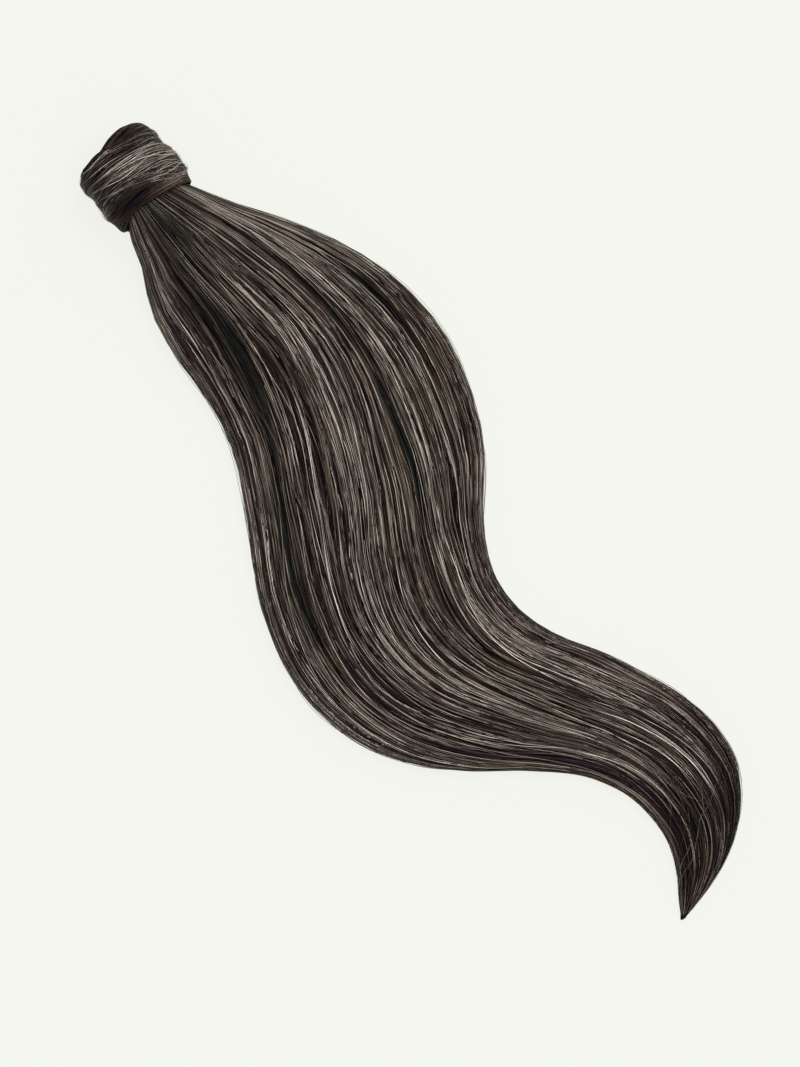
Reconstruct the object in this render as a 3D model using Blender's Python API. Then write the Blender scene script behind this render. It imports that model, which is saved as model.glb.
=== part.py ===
"""Ponytail hairpiece, lying on a table.

A long tail of straight hair fans out from a narrow neck, swings through an S and ends in a point. Its roots
are sewn into a short hollow band, which takes the wearer's own ponytail and holds a comb. A lock of the same
hair is wound round the band and hides it.

The mouth of the band faces +Y, the tail runs towards -Y and the table is the plane z = 0. The tables are in
millimetres, measured from the centre of the wound mouth; the origin of the finished part is the middle of its
footprint on the table.
"""

import math

import bmesh
import bpy
import numpy as np

MM = 0.001

# Band that the hair is sewn into
BAND_HALF_WIDTH = 15.8
BAND_HALF_HEIGHT = 12.6
BAND_WALL = 2.4
BAND_MOUTH = -2.6
BAND_END = -33.0
AXIS_HEIGHT = 19.0
SEAT_GAP = 0.3
SEAT_FLARE = 5.4

# Lengthwise sections of the tail, from its roots to its tip, each a slice that stands on the table
TAIL_COLUMNS = ("centre_x", "centre_y", "across_deg", "width", "top", "underside", "flatness")
TAIL_SECTIONS = (
    (0.0, -33.3, 0.0, 31.6, 31.6, 6.4, 0.0),
    (0.0, -38.0, -4.0, 34.5, 31.0, 6.0, 0.0),
    (0.5, -43.0, -9.0, 41.0, 30.5, 4.5, 0.1),
    (1.5, -60.5, -11.5, 57.5, 27.0, 1.0, 0.6),
    (2.0, -84.0, -13.0, 85.0, 22.5, 0.0, 1.0),
    (4.0, -111.0, -13.5, 105.0, 19.0, 0.0, 1.0),
    (5.0, -139.5, -15.0, 115.5, 16.5, 0.0, 1.0),
    (0.5, -167.5, -17.5, 122.5, 15.0, 0.0, 1.0),
    (-23.2, -213.3, -23.0, 129.0, 14.0, 0.0, 1.0),
    (-54.0, -250.5, -23.5, 120.5, 13.5, 0.0, 1.0),
    (-65.0, -272.0, -22.0, 117.0, 13.5, 0.0, 1.0),
    (-69.0, -295.5, -20.0, 116.5, 13.5, 0.0, 1.0),
    (-65.5, -320.5, -17.0, 116.0, 13.5, 0.0, 1.0),
    (-55.0, -345.0, -14.5, 112.5, 13.5, 0.0, 1.0),
    (-42.0, -368.0, -15.0, 101.5, 13.5, 0.0, 1.0),
    (-26.5, -393.0, -19.0, 84.5, 13.0, 0.0, 1.0),
    (-17.5, -416.0, -24.0, 68.5, 12.5, 0.0, 1.0),
    (-17.0, -439.0, -26.5, 54.5, 11.5, 0.0, 1.0),
    (-24.5, -458.0, -23.5, 41.5, 10.0, 0.0, 1.0),
    (-38.5, -472.5, -22.0, 30.5, 8.0, 0.0, 1.0),
    (-54.5, -481.5, -19.0, 17.5, 5.5, 0.0, 1.0),
    (-67.5, -486.5, -19.0, 1.4, 1.6, 0.0, 1.0),
)
TAIL_STATIONS = 54
UNDERSIDE_POINTS = 11
EDGE_SHARE = 0.34
DOME_POWER = 0.40
FLAT_SHARE = 0.66

# Valleys between the locks: how far across the tail each lies, from the left edge, and how deep it is
VALLEY_COLUMNS = ("at_neck", "at_widest", "at_tip", "depth")
VALLEYS = (
    (0.13, 0.09, 0.14, 1.4),
    (0.25, 0.21, 0.26, 2.6),
    (0.37, 0.33, 0.38, 1.5),
    (0.49, 0.44, 0.50, 2.4),
    (0.60, 0.57, 0.61, 1.5),
    (0.71, 0.68, 0.73, 2.2),
    (0.81, 0.79, 0.83, 1.4),
    (0.90, 0.90, 0.91, 1.8),
)
POINTS_PER_LOCK = 4
VALLEY_STARTS_PAST_NECK = 12.0
VALLEY_FADE_IN = 70.0
VALLEY_FADE_OUT = 90.0
SWELL = 0.7
SWELL_LENGTH = 150.0

# Turns of the wound lock: rows go round the band from the right, over the top and to the left
TURN_COLUMNS = ("angle_deg", "mouth_edge", "neck_edge", "thickness")
RIM_TURN = (
    (0.0, 0.2, -18.0, 10.0),
    (40.0, 2.0, -15.0, 8.2),
    (66.0, 2.0, -12.5, 5.8),
    (95.0, 0.2, -12.0, 3.0),
    (180.0, -3.6, -13.0, 2.0),
    (270.0, -1.6, -13.0, 4.2),
    (320.0, -0.4, -15.5, 7.2),
)
NECK_TURN = (
    (0.0, -30.0, -42.6, 2.2),
    (45.0, -24.0, -39.6, 4.0),
    (90.0, -19.0, -35.2, 5.6),
    (125.0, -17.5, -33.8, 6.2),
    (155.0, -17.0, -35.4, 6.6),
    (180.0, -16.6, -38.0, 6.8),
    (225.0, -18.0, -38.2, 6.2),
    (270.0, -22.0, -39.0, 5.4),
    (315.0, -27.0, -42.0, 3.4),
)
MAIN_TURN = (
    (0.0, -11.5, -39.4, 10.6),
    (45.0, -5.6, -34.6, 9.4),
    (70.0, -2.4, -31.4, 8.2),
    (90.0, 0.2, -28.6, 7.4),
    (135.0, 0.2, -22.8, 5.8),
    (180.0, -1.5, -17.8, 5.2),
    (225.0, -3.0, -19.0, 5.4),
    (270.0, -6.0, -28.0, 6.0),
    (315.0, -9.5, -36.0, 8.6),
)
TURN_STEPS = 44
TURN_OUTER_POINTS = 12
TURN_INNER_POINTS = 6
TURN_LIP = 0.8
TURN_RIDGES = 3
TURN_RIDGE_DEPTH = 0.5
CLEARANCE = 0.35

# Comb sewn inside the top of the band
COMB_TEETH = 7
COMB_SPAN_DEG = 84.0
COMB_THICKNESS = 1.4
COMB_SPINE_DEPTH = 4.0
COMB_TOOTH_LENGTH = 17.0
COMB_START = -7.0
COMB_TOOTH_SHARE = 0.5

HAIR_COLOUR = (0.030, 0.024, 0.021, 1.0)
BAND_COLOUR = (0.012, 0.011, 0.011, 1.0)
COMB_COLOUR = (0.020, 0.017, 0.015, 1.0)


def curve_through(keys, values, at):
    """Values on a smooth curve through a table; each slope is that of the parabola through its neighbours."""
    slopes = np.gradient(values, keys, axis=0)
    row = np.clip(np.searchsorted(keys, at) - 1, 0, len(keys) - 2)
    step = (keys[row + 1] - keys[row])[:, None]
    t = (at - keys[row])[:, None] / step
    start = values[row] * (1 + 2 * t) * (1 - t) ** 2 + slopes[row] * step * t * (1 - t) ** 2
    end = values[row + 1] * t**2 * (3 - 2 * t) + slopes[row + 1] * step * t**2 * (t - 1)
    return start + end


def columns_of(names, values):
    """The columns of an array, under the names of their table."""
    return {name: values[:, i] for i, name in enumerate(names)}


def ramp(value, start, end):
    """0 before start, 1 after end, and smooth between them."""
    t = np.clip((value - start) / (end - start), 0.0, 1.0)
    return t * t * (3 - 2 * t)


def tail_keys():
    """Distance of each section from the roots, along the middle of the tail."""
    centres = np.array(TAIL_SECTIONS)[:, :2]
    steps = np.linalg.norm(np.diff(centres, axis=0), axis=1)
    return np.concatenate([[0.0], np.cumsum(steps)])


def tail_stations():
    """Places along the tail, closer together where it is narrow near the neck and the tip."""
    keys = tail_keys()
    share = np.linspace(0.0, 1.0, TAIL_STATIONS)
    eased = share - 0.09 * np.sin(2 * math.pi * share)
    return eased * keys[-1]


def lock_edges(place, length):
    """How far across the tail each lock begins and ends, at every place along it."""
    valleys = columns_of(VALLEY_COLUMNS, np.array(VALLEYS))
    keys = np.array([0.0, 0.4 * length, length])
    shares = np.stack([valleys["at_neck"], valleys["at_widest"], valleys["at_tip"]])
    ends = np.ones((len(place), 1))
    edges = np.hstack([0 * ends, curve_through(keys, shares, place), ends])
    return edges, np.concatenate([[0.0], valleys["depth"], [0.0]])


def section_height(across, columns):
    """Height of the top and of the underside over the table, at a place across each section."""
    rise = 1 - (2 * across - 1) ** 2
    flatness = columns["flatness"][:, None]
    top, underside = columns["top"][:, None], columns["underside"][:, None]
    edge = underside + (top - underside) * (0.5 - (0.5 - EDGE_SHARE) * flatness)
    power = 0.5 - (0.5 - DOME_POWER) * flatness
    over = edge + (top - edge) * rise**power
    round_below = edge - (edge - underside) * np.sqrt(rise)
    near_edge = 1 - np.clip(np.sqrt(rise) / FLAT_SHARE, 0.0, 1.0)
    flat_below = edge - (edge - underside) * np.sqrt(1 - near_edge**2)
    return over, round_below + (flat_below - round_below) * flatness


def tail_rings():
    """The tail's sections as rings of points: over the locks from left to right, and back along the underside."""
    keys, place = tail_keys(), tail_stations()
    columns = columns_of(TAIL_COLUMNS, curve_through(keys, np.array(TAIL_SECTIONS), place))
    columns["underside"] = np.maximum(columns["underside"], 0.0)
    columns["flatness"] = np.clip(columns["flatness"], 0.0, 1.0)
    edges, depths = lock_edges(place, keys[-1])
    inside = np.arange(POINTS_PER_LOCK) / POINTS_PER_LOCK
    shares, drops = [], []
    for lock in range(edges.shape[1] - 1):
        width = (edges[:, lock + 1] - edges[:, lock])[:, None]
        shares.append(edges[:, lock, None] + width * inside)
        deep = depths[lock] + (depths[lock + 1] - depths[lock]) * inside
        swell = SWELL * np.sin(2 * math.pi * place / SWELL_LENGTH + 2.1 * lock)[:, None]
        crown = 4 * inside * (1 - inside)
        drops.append(deep * (1 - crown) - swell * crown)
    across = np.hstack([*shares, edges[:, -1:]])
    drop = np.hstack([*drops, 0 * edges[:, -1:]])
    neck = keys[2] + VALLEY_STARTS_PAST_NECK
    grown = ramp(place, neck, neck + VALLEY_FADE_IN) * ramp(keys[-1] - place, 0.0, VALLEY_FADE_OUT)
    over, _ = section_height(across, columns)
    over = over - drop * grown[:, None]
    turn = np.linspace(0.0, math.pi, UNDERSIDE_POINTS + 2)[1:-1]
    back = np.tile((1 + np.cos(turn)) / 2, (len(place), 1))
    _, under = section_height(back, columns)
    across, height = np.hstack([across, back]), np.hstack([over, under])
    angle = np.radians(columns["across_deg"])[:, None]
    sideways = (across - 0.5) * columns["width"][:, None]
    x = columns["centre_x"][:, None] + sideways * np.cos(angle)
    y = columns["centre_y"][:, None] + sideways * np.sin(angle)
    return np.stack([x, y, height], axis=-1)


def seat_size(y):
    """Half width and half height of what the wound lock lies on: the band, then the hair that leaves it."""
    flare = SEAT_FLARE * ramp(BAND_END - y, -2.0, 11.0)
    return BAND_HALF_WIDTH + flare, BAND_HALF_HEIGHT + 0.3 * flare


def turn_columns(table, angle):
    """A turn's table read at any angles, all the way round."""
    rows = np.array(table)
    around = np.concatenate([rows - [360, 0, 0, 0], rows, rows + [360, 0, 0, 0]])
    found = curve_through(around[:, 0], around, np.degrees(angle).ravel() % 360)
    shaped = found.reshape(*np.shape(angle), 4)
    return {name: shaped[..., i] for i, name in enumerate(TURN_COLUMNS)}


def turn_height(table, angle, y):
    """How far a turn stands over its seat at an angle round the band and a distance along it."""
    columns = turn_columns(table, angle)
    share = (columns["mouth_edge"] - y) / (columns["mouth_edge"] - columns["neck_edge"])
    bulge = np.clip(1 - np.abs(2 * share - 1) ** 2.4, 0.0, None) ** 0.55
    ridge = TURN_RIDGE_DEPTH * np.abs(np.sin(math.pi * TURN_RIDGES * share)) - TURN_RIDGE_DEPTH
    return columns["thickness"] * bulge + ridge * (bulge > 0)


def height_under(tables, angle, y):
    """The most that the turns below stand over the seat, near a place, so that a turn over them stays clear."""
    highest = np.zeros_like(y)
    for table in tables:
        for turned in (-0.08, 0.0, 0.08):
            for moved in (-1.6, -0.8, 0.0, 0.8, 1.6):
                highest = np.maximum(highest, turn_height(table, angle + turned, y + moved))
    return highest


def round_the_band(angle, y, height):
    """The point that stands a height over the seat, pressed flat where it would go below the table."""
    half_width, half_height = seat_size(y)
    x = (half_width + height) * np.cos(angle)
    z = AXIS_HEIGHT + (half_height + height) * np.sin(angle)
    return np.stack([x, y, np.maximum(z, 0.0)], axis=-1)


def turn_rings(table, below=()):
    """A turn as rings of points, one for each step round the band: over its outside and back along its seat."""
    around = np.linspace(0.0, 2 * math.pi, TURN_STEPS, endpoint=False)
    out = (1 - np.cos(np.linspace(0.0, math.pi, TURN_OUTER_POINTS))) / 2
    back = np.linspace(1.0, 0.0, TURN_INNER_POINTS + 2)[1:-1]
    share = np.tile(np.concatenate([out, back]), (TURN_STEPS, 1))
    angle = np.tile(around[:, None], (1, share.shape[1]))
    columns = turn_columns(table, angle)
    y = columns["mouth_edge"] + (columns["neck_edge"] - columns["mouth_edge"]) * share
    seat = height_under(below, angle, y) + CLEARANCE
    lip = TURN_LIP * np.minimum(1.0, 8 * share * (1 - share) + 0.5)
    outside = np.maximum(seat + lip, turn_height(table, angle, y))
    is_outside = np.arange(share.shape[1]) < TURN_OUTER_POINTS
    return round_the_band(angle, y, np.where(is_outside, outside, seat))


def band_rings():
    """The band as rings of points: each is the wall's cut, a thin upright rectangle seen from the side."""
    around = np.linspace(0.0, 2 * math.pi, TURN_STEPS, endpoint=False)
    corners = ((BAND_MOUTH, 0.0), (BAND_END, 0.0), (BAND_END, -BAND_WALL), (BAND_MOUTH, -BAND_WALL))
    y = np.tile([corner[0] for corner in corners], (TURN_STEPS, 1))
    inset = np.tile([corner[1] for corner in corners], (TURN_STEPS, 1))
    angle = np.tile(around[:, None], (1, len(corners)))
    x = (BAND_HALF_WIDTH + inset) * np.cos(angle)
    z = AXIS_HEIGHT + (BAND_HALF_HEIGHT + inset) * np.sin(angle)
    return np.stack([x, y, z], axis=-1)


def plain_material(name, colour, roughness):
    """A plain finish of one colour."""
    material = bpy.data.materials.new(name)
    material.use_nodes = True
    shader = material.node_tree.nodes["Principled BSDF"]
    shader.inputs["Base Color"].default_value = colour
    shader.inputs["Roughness"].default_value = roughness
    shader.inputs["Metallic"].default_value = 0.0
    material.diffuse_color = colour
    return material


def add_object(name, bm, material):
    """Closes up a bmesh as a named object with smooth sides."""
    bmesh.ops.recalc_face_normals(bm, faces=bm.faces)
    mesh = bpy.data.meshes.new(name)
    bm.to_mesh(mesh)
    bm.free()
    mesh.materials.append(material)
    mesh.shade_smooth()
    mesh.set_sharp_from_angle(angle=math.radians(50))
    obj = bpy.data.objects.new(name, mesh)
    bpy.context.scene.collection.objects.link(obj)
    return obj


def skin(name, rings, material, closed):
    """Faces from each ring of points to the next; the ends are capped, or joined where the rings close a loop."""
    bm = bmesh.new()
    loops = [[bm.verts.new(point * MM) for point in ring] for ring in rings]
    following = loops[1:] + loops[:1] if closed else loops[1:]
    for here, there in zip(loops, following):
        for i in range(len(here)):
            j = (i + 1) % len(here)
            bm.faces.new((here[i], here[j], there[j], there[i]))
    if not closed:
        bm.faces.new(loops[0])
        bm.faces.new(loops[-1])
    return add_object(name, bm, material)


def add_comb(material):
    """An arched comb: a spine of cells along the band's inner wall, with every other cell drawn out to a tooth."""
    cells = 2 * COMB_TEETH - 1
    width = np.where(np.arange(cells) % 2 == 0, COMB_TOOTH_SHARE, 1 - COMB_TOOTH_SHARE)
    reach = np.concatenate([[0.0], np.cumsum(width)]) / width.sum() - 0.5
    angles = math.pi / 2 - np.radians(COMB_SPAN_DEG) * reach
    outset = BAND_WALL + SEAT_GAP
    bm = bmesh.new()
    columns = []
    for angle in angles:
        column = []
        for inset, y in ((0, 0), (1, 0), (1, 1), (0, 1)):
            depth = outset + inset * COMB_THICKNESS
            x = (BAND_HALF_WIDTH - depth) * math.cos(angle)
            z = AXIS_HEIGHT + (BAND_HALF_HEIGHT - depth) * math.sin(angle)
            column.append(bm.verts.new((x * MM, (COMB_START - y * COMB_SPINE_DEPTH) * MM, z * MM)))
        columns.append(column)
    tooth_roots = []
    for cell, (left, right) in enumerate(zip(columns, columns[1:])):
        for i in range(4):
            j = (i + 1) % 4
            face = bm.faces.new((left[i], left[j], right[j], right[i]))
            if i == 2 and cell % 2 == 0:
                tooth_roots.append(face)
    bm.faces.new(columns[0])
    bm.faces.new(columns[-1])
    for root in tooth_roots:
        drawn = bmesh.ops.extrude_discrete_faces(bm, faces=[root])["faces"][0]
        middle = drawn.calc_center_median()
        for vert in drawn.verts:
            vert.co = middle + (vert.co - middle) * 0.6
            vert.co.y -= COMB_TOOTH_LENGTH * MM
    return add_object("comb", bm, material)


def centre_on_footprint(objects):
    """Moves every object so that the middle of the whole part's footprint is the origin."""
    points = np.array([vert.co[:] for obj in objects for vert in obj.data.vertices])
    middle = (points.min(axis=0) + points.max(axis=0)) / 2
    for obj in objects:
        obj.location = (-middle[0], -middle[1], 0.0)


def build():
    for obj in list(bpy.data.objects):
        bpy.data.objects.remove(obj)
    hair = plain_material("hair", HAIR_COLOUR, 0.45)
    wefts = plain_material("sewn_band", BAND_COLOUR, 0.9)
    plastic = plain_material("comb_plastic", COMB_COLOUR, 0.35)
    parts = [
        skin("hair_tail", tail_rings(), hair, closed=False),
        skin("sewn_band", band_rings(), wefts, closed=True),
        skin("rim_turn", turn_rings(RIM_TURN), hair, closed=True),
        skin("neck_turn", turn_rings(NECK_TURN), hair, closed=True),
        skin("main_turn", turn_rings(MAIN_TURN, below=(RIM_TURN, NECK_TURN)), hair, closed=True),
        add_comb(plastic),
    ]
    centre_on_footprint(parts)


build()
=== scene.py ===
"""Ponytail hairpiece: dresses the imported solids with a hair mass, bare strands, a stitched band and a comb.

The solids give the lying S of the tail and the three turns of the wound lock. Each is replaced by a mass of
the same form, a little slimmer, and covered with strands: closed tubes that follow the lie of the hair.
Tables are in millimetres from the centre of the wound mouth, as in the part's source.
"""

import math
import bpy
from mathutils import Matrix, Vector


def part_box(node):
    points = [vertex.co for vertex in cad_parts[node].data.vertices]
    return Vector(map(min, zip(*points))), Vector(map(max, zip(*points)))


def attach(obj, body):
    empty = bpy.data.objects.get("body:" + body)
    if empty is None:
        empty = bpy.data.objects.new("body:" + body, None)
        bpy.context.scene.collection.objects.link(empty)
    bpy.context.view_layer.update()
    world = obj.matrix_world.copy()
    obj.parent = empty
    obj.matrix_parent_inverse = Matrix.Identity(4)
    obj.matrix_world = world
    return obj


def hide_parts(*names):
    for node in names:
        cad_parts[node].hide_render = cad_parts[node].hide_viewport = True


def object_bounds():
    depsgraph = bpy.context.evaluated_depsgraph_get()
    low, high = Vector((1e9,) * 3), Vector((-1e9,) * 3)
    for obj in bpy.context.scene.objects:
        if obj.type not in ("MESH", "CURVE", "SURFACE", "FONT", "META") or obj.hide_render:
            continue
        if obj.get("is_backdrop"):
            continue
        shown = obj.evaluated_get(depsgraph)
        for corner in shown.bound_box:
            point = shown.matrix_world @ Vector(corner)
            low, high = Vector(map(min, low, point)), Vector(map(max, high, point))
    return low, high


bl_info = {
    "name": "Ponytail Hairpiece",
    "version": (1, 0, 0),
    "blender": (4, 5, 0),
    "location": "View3D > Sidebar > Hairpiece",
    "description": "Builds a long straight ponytail hairpiece with a wound head, and a plain studio for it",
    "category": "Object",
}

from types import SimpleNamespace

import bpy
import numpy as np

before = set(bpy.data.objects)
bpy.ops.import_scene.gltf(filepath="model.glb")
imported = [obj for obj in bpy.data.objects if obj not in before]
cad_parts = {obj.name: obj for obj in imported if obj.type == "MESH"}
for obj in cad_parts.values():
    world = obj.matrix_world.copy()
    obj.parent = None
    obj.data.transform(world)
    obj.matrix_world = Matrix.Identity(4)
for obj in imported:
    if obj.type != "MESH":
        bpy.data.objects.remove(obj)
CAD_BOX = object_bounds()

MM = 0.001
TURN = 2 * math.pi

# Band that the hair is sewn into
BAND_HALF_WIDTH = 15.8
BAND_HALF_HEIGHT = 12.6
BAND_WALL = 2.4
BAND_MOUTH = -2.6
BAND_END = -33.0
AXIS_HEIGHT = 19.0
TAPE_ROW = 3.4
SEAT_GAP = 0.3
SEAT_FLARE = 5.4
CLEARANCE = 0.35

# Lengthwise sections of the tail, from its roots to its tip, each a slice that stands on the table
TAIL_COLUMNS = ("centre_x", "centre_y", "across_deg", "width", "top", "underside", "flatness")
TAIL_SECTIONS = (
    (0, -33.3, 0, 31.6, 31.6, 6.4, 0),
    (0, -38, -4, 34.5, 31, 6, 0),
    (0.5, -43, -9, 41, 30.5, 4.5, 0.1),
    (1.5, -60.5, -11.5, 57.5, 27, 1, 0.6),
    (2, -84, -13, 85, 22.5, 0, 1),
    (4, -111, -13.5, 105, 19, 0, 1),
    (5, -139.5, -15, 115.5, 16.5, 0, 1),
    (0.5, -167.5, -17.5, 122.5, 15, 0, 1),
    (-23.2, -213.3, -23, 129, 14, 0, 1),
    (-54, -250.5, -23.5, 120.5, 13.5, 0, 1),
    (-65, -272, -22, 117, 13.5, 0, 1),
    (-69, -295.5, -20, 116.5, 13.5, 0, 1),
    (-65.5, -320.5, -17, 116, 13.5, 0, 1),
    (-55, -345, -14.5, 112.5, 13.5, 0, 1),
    (-42, -368, -15, 101.5, 13.5, 0, 1),
    (-26.5, -393, -19, 84.5, 13, 0, 1),
    (-17.5, -416, -24, 68.5, 12.5, 0, 1),
    (-17, -439, -26.5, 54.5, 11.5, 0, 1),
    (-24.5, -458, -23.5, 41.5, 10, 0, 1),
    (-38.5, -472.5, -22, 30.5, 8, 0, 1),
    (-54.5, -481.5, -19, 17.5, 5.5, 0, 1),
    (-67.5, -486.5, -19, 1.4, 1.6, 0, 1),
)
EDGE_SHARE = 0.34
DOME_POWER = 0.4
FLAT_SHARE = 0.66

# Valleys between the locks: how far across the tail each lies, from the left edge, and how deep it is
VALLEY_COLUMNS = ("at_neck", "at_widest", "at_tip", "depth")
VALLEYS = (
    (0.13, 0.09, 0.14, 1.4),
    (0.25, 0.21, 0.26, 2.6),
    (0.37, 0.33, 0.38, 1.5),
    (0.49, 0.44, 0.5, 2.4),
    (0.6, 0.57, 0.61, 1.5),
    (0.71, 0.68, 0.73, 2.2),
    (0.81, 0.79, 0.83, 1.4),
    (0.9, 0.9, 0.91, 1.8),
)
VALLEY_START = 22.0
VALLEY_FADE_IN = 70.0
VALLEY_FADE_OUT = 90.0
SHORTEST_STRAND = 240.0
SWELL = 0.7
SWELL_LENGTH = 150.0

# How the hair flows: each row says how far across the tail, from the left edge, the hairs of each lay run
# at a place along it; a lay is a hair's share of the way across where the tail is widest
FLOW_LAYS = (0, 0.12, 0.2, 0.28, 0.37, 0.47, 0.58, 0.665, 0.77, 0.885, 1)
FLOW = (
    (0, 0, 0.2, 0.26, 0.33, 0.42, 0.52, 0.62, 0.7, 0.8, 0.91, 1),
    (30, 0, 0.15, 0.25, 0.32, 0.42, 0.53, 0.63, 0.71, 0.79, 0.87, 1),
    (60, 0, 0.17, 0.28, 0.34, 0.41, 0.52, 0.62, 0.68, 0.735, 0.84, 1),
    (80, 0, 0.165, 0.255, 0.325, 0.4, 0.51, 0.61, 0.665, 0.705, 0.82, 1),
    (100, 0, 0.13, 0.22, 0.29, 0.395, 0.49, 0.595, 0.65, 0.68, 0.8, 1),
    (120, 0, 0.105, 0.19, 0.26, 0.38, 0.465, 0.58, 0.635, 0.665, 0.79, 1),
    (140, 0, 0.1, 0.175, 0.24, 0.36, 0.45, 0.56, 0.62, 0.66, 0.785, 1),
    (160, 0, 0.095, 0.17, 0.235, 0.355, 0.45, 0.55, 0.61, 0.67, 0.79, 1),
    (180, 0, 0.1, 0.165, 0.235, 0.35, 0.455, 0.55, 0.615, 0.69, 0.8, 1),
    (200, 0, 0.105, 0.17, 0.25, 0.355, 0.46, 0.56, 0.635, 0.71, 0.82, 1),
    (220, 0, 0.11, 0.18, 0.27, 0.36, 0.465, 0.575, 0.655, 0.74, 0.85, 1),
    (250, 0, 0.12, 0.2, 0.28, 0.37, 0.47, 0.58, 0.665, 0.77, 0.885, 1),
    (300, 0, 0.11, 0.175, 0.27, 0.38, 0.47, 0.57, 0.66, 0.75, 0.88, 1),
    (340, 0, 0.08, 0.145, 0.275, 0.385, 0.465, 0.545, 0.645, 0.735, 0.875, 1),
    (380, 0, 0.04, 0.1, 0.27, 0.34, 0.43, 0.5, 0.615, 0.71, 0.865, 1),
    (420, 0, 0.03, 0.07, 0.245, 0.285, 0.35, 0.43, 0.585, 0.69, 0.86, 1),
    (440, 0, 0.03, 0.07, 0.245, 0.28, 0.34, 0.42, 0.6, 0.71, 0.87, 1),
    (460, 0, 0.03, 0.08, 0.265, 0.31, 0.39, 0.48, 0.66, 0.77, 0.89, 1),
    (480, 0, 0.05, 0.12, 0.31, 0.38, 0.47, 0.57, 0.74, 0.83, 0.92, 1),
    (511, 0, 0.1, 0.2, 0.4, 0.5, 0.6, 0.7, 0.82, 0.9, 0.96, 1),
)

# Partings, where the hair sinks, parts and shows its dark depth, and crests, with light and shade painted
# into the hair's tone: painted shade darkens each parting and some broader stretches, and a painted highlight
# of sheen lightens the crests and both edges of the tail. Each row follows a lay of the flow from one place
# to another; half_width is in lays, tone from -1, painted shade, to 1, painted highlight, and sink is how
# much of the full dip the hair parts and sinks there
PARTING_COLUMNS = ("lay", "place_start", "place_end", "half_width", "tone", "sink")
PARTINGS_AND_PAINTED_LIGHT = (
    (0.22, 60, 130, 0.022, -1, 1),
    (0.15, 35, 140, 0.05, -0.5, 0.3),
    (0.145, 140, 255, 0.045, -0.4, 0.1),
    (0.365, 82, 195, 0.016, -0.6, 0.4),
    (0.52, 165, 212, 0.03, -0.3, 0),
    (0.77, 62, 220, 0.017, -0.8, 0.5),
    (0.94, 84, 114, 0.04, -0.6, 0.2),
    (0.42, 4, 38, 0.13, -0.8, 0.3),
    (0.7, 0, 16, 0.12, -0.4, 0),
    (0.21, 332, 356, 0.03, -0.5, 0.2),
    (0.245, 358, 388, 0.025, -0.6, 0.3),
    (0.225, 388, 475, 0.025, -0.7, 0.3),
    (0.42, 428, 465, 0.02, -0.5, 0.2),
    (0.76, 440, 530, 0.2, -1, 0.3),
    (0.35, 452, 530, 0.4, -0.9, 0),
    (0.5, 476, 530, 0.9, -0.25, 0),
    (0.18, 0, 480, 0.13, -0.25, 0),
    (0.45, 60, 330, 0.045, 0.22, 0),
    (0.76, 100, 300, 0.06, -0.2, 0),
    (0.45, 0, 14, 0.4, -0.5, 0),
    (0.885, 8, 92, 0.028, 0.8, 0),
    (0.655, 22, 190, 0.03, 0.45, 0),
    (0.475, 46, 75, 0.015, 0.5, 0),
    (0.47, 98, 168, 0.03, 0.45, 0),
    (0.285, 92, 168, 0.02, 0.5, 0),
    (0.665, 190, 300, 0.03, 0.45, 0),
    (0.41, 235, 295, 0.04, 0.4, 0),
    (0.575, 300, 432, 0.05, 0.4, 0),
    (0.47, 358, 446, 0.02, 1, 0),
    (0.665, 372, 440, 0.03, 0.6, 0),
    (0.885, 320, 375, 0.03, 0.3, 0),
    (0.33, 392, 434, 0.02, 0.2, 0),
    (0.05, 4, 34, 0.04, 0.4, 0),
    (0.86, 120, 300, 0.16, 0.1, 0),
    (0, 50, 420, 0.03, 0.8, 0),
    (1, 30, 440, 0.025, 0.5, 0),
    (0.5, 205, 285, 0.5, -0.22, 0),
    (0.5, 40, 95, 0.5, -0.15, 0),
)
PARTING_BEYOND = 14
PARTING_WITHIN = 12
PARTING_PUSH = 0.45
PARTING_DIP = 1.6
RELIEF_SHARE = 0.3
# Share of the tone that painted shade takes off the tail's strands
PAINTED_SHADE_SHARE = 0.18

# Turns of the wound lock: rows go round the band from the right, over the top and to the left
TURN_COLUMNS = ("angle_deg", "mouth_edge", "neck_edge", "thickness")
RIM_TURN = (
    (0, 0.2, -18, 10),
    (40, 2, -15, 8.2),
    (66, 2, -12.5, 5.8),
    (95, 0.2, -12, 3),
    (180, -3.6, -13, 2),
    (270, -1.6, -13, 4.2),
    (320, -0.4, -15.5, 7.2),
)
NECK_TURN = (
    (0, -30, -42.6, 2.2),
    (45, -24, -39.6, 4),
    (90, -19, -35.2, 5.6),
    (125, -17.5, -33.8, 6.2),
    (155, -17, -35.4, 6.6),
    (180, -16.6, -38, 6.8),
    (225, -18, -38.2, 6.2),
    (270, -22, -39, 5.4),
    (315, -27, -42, 3.4),
)
MAIN_TURN = (
    (0, -11.5, -39.4, 10.6),
    (45, -5.6, -34.6, 9.4),
    (70, -2.4, -31.4, 8.2),
    (90, 0.2, -28.6, 7.4),
    (135, 0.2, -22.8, 5.8),
    (180, -1.5, -17.8, 5.2),
    (225, -3, -19, 5.4),
    (270, -6, -28, 6),
    (315, -9.5, -36, 8.6),
)
TURNS = (
    ("rim_turn", RIM_TURN, ()),
    ("neck_turn", NECK_TURN, ()),
    ("main_turn", MAIN_TURN, (RIM_TURN, NECK_TURN)),
)
TURN_LIP = 0.8
# How far a turn's mass lies under its strands, and the least thickness of the mass
TURN_SINK = 0.85
TURN_SKIN = 0.35
TURN_RIDGES = 3
TURN_RIDGE_DEPTH = 0.2

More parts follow.
